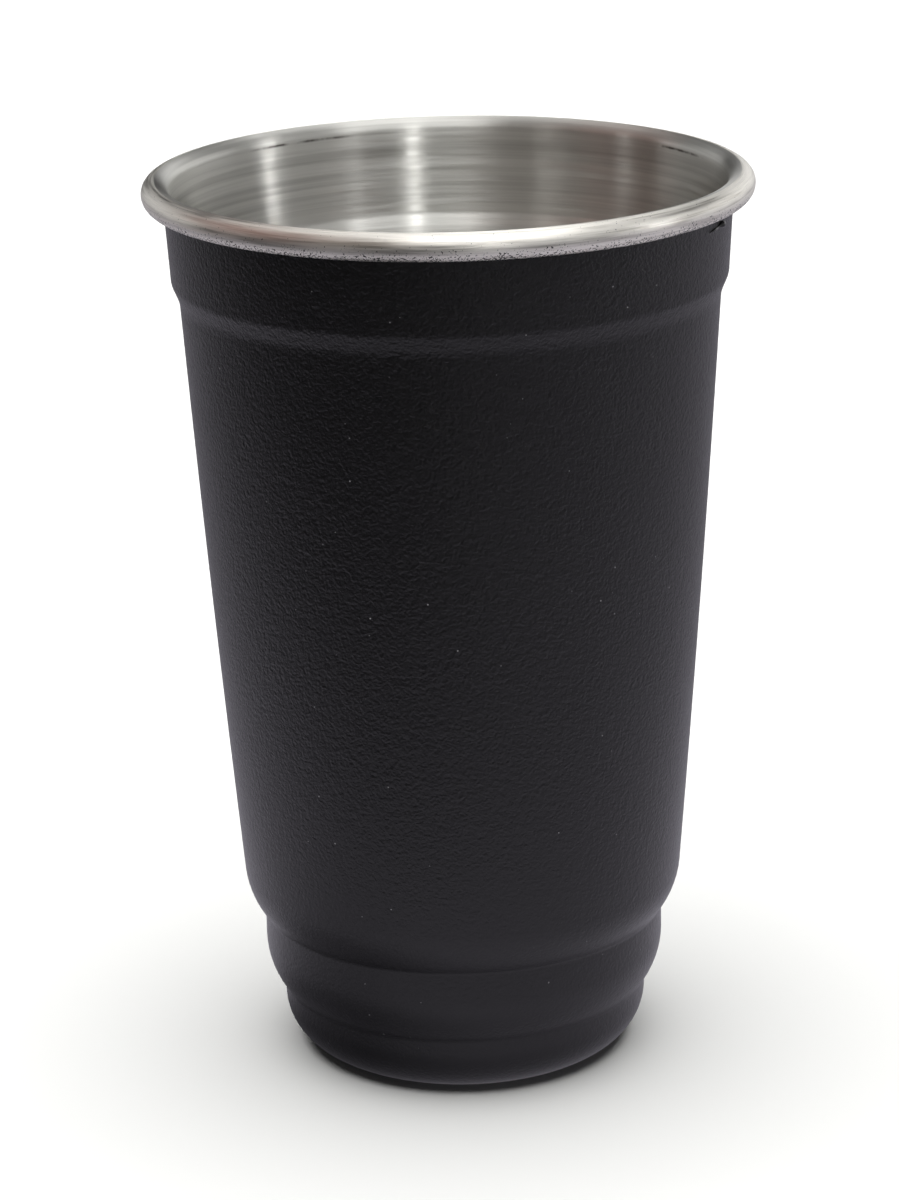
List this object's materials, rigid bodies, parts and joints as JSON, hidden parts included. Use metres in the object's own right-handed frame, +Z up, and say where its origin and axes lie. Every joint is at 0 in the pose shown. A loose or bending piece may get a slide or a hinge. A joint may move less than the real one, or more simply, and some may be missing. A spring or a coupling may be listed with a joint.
{
  "type": "aluminium tumbler",
  "caption": "Tapered single-walled aluminium drinking tumbler with a rolled rim, a collar, a stepped foot and a near-black textured coat outside.",
  "frame": {"origin": "middle of the standing ring, on the surface that the tumbler stands on", "axes": "+Z up along the tumbler's axis, towards the mouth; X and Y are alike, because it is round"},
  "size_m": [0.0958, 0.0958, 0.145],
  "materials": {
    "satin_aluminium": "spun satin, bare, with fine lines round the cup",
    "textured_coat": "near-black baked coat with a fine leathery texture, satin"
  },
  "bodies": {
    "root": {"aluminium_shell": "satin_aluminium", "wall_coat": "textured_coat", "base_coat": "textured_coat"}
  },
  "joints": []
}
